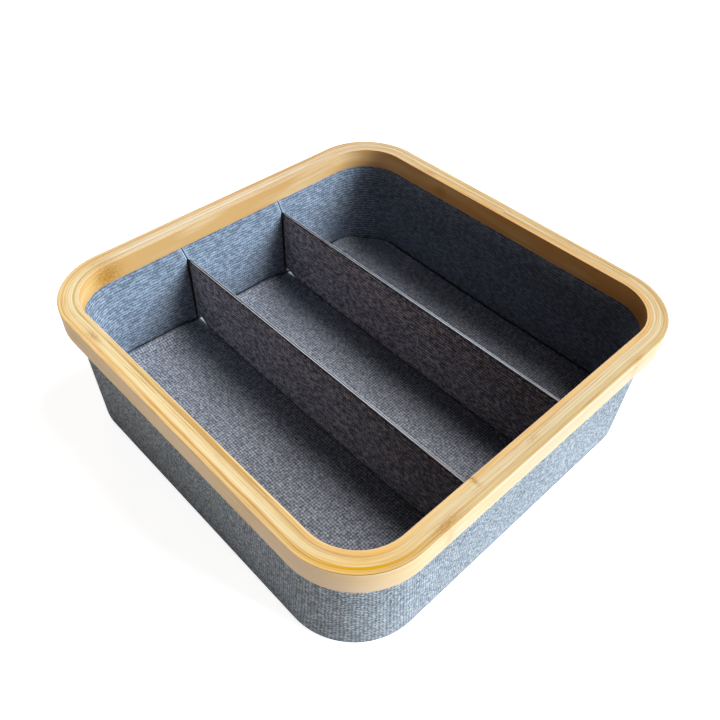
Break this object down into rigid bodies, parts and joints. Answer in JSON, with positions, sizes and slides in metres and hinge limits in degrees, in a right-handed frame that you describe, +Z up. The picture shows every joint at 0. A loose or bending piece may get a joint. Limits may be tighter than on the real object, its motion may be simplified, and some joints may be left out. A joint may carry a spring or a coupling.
{
  "type": "storage tray",
  "caption": "Square fabric-covered board tray with a bent, laminated bamboo rim, a loose floor panel and lift-out dividers between its compartments.",
  "frame": {"origin": "centre of the underside, on the surface that the tray stands on", "axes": "+Z up; the dividers run along Y; -Y is the side with the butt joint of the rim's inner strip; +X is to the right when looking along +Y"},
  "size_m": [0.31, 0.31, 0.1005],
  "materials": {
    "bamboo": "clear satin lacquer over laminated bamboo",
    "fabric": "grey-blue melange weave",
    "board": "raw grey-brown board",
    "backing": "dark non-woven cloth"
  },
  "bodies": {
    "tray": {"rim_outer_strip": "bamboo", "rim_second_strip": "bamboo", "rim_groove_strip": "bamboo", "rim_inner_strip": "bamboo", "wall_board": "board", "outer_cover": "fabric", "base_cloth": "backing", "base_board": "board", "floor_board": "board", "floor_cover": "fabric", "lining_left_board": "board", "lining_left_fabric": "fabric", "lining_back_board": "board", "lining_back_fabric": "fabric", "lining_right_board": "board", "lining_right_fabric": "fabric", "lining_front_board": "board", "lining_front_fabric": "fabric"},
    "left_divider": {"left_divider_core": "board", "left_divider_left_facing": "fabric", "left_divider_right_facing": "fabric"},
    "right_divider": {"right_divider_core": "board", "right_divider_left_facing": "fabric", "right_divider_right_facing": "fabric"}
  },
  "joints": [
    {"name": "left_divider_lift", "type": "slide", "parent": "tray", "child": "left_divider", "axis": [0, 0, 1], "range_m": [0, 0.1]},
    {"name": "right_divider_lift", "type": "slide", "parent": "tray", "child": "right_divider", "axis": [0, 0, 1], "range_m": [0, 0.1]}
  ]
}
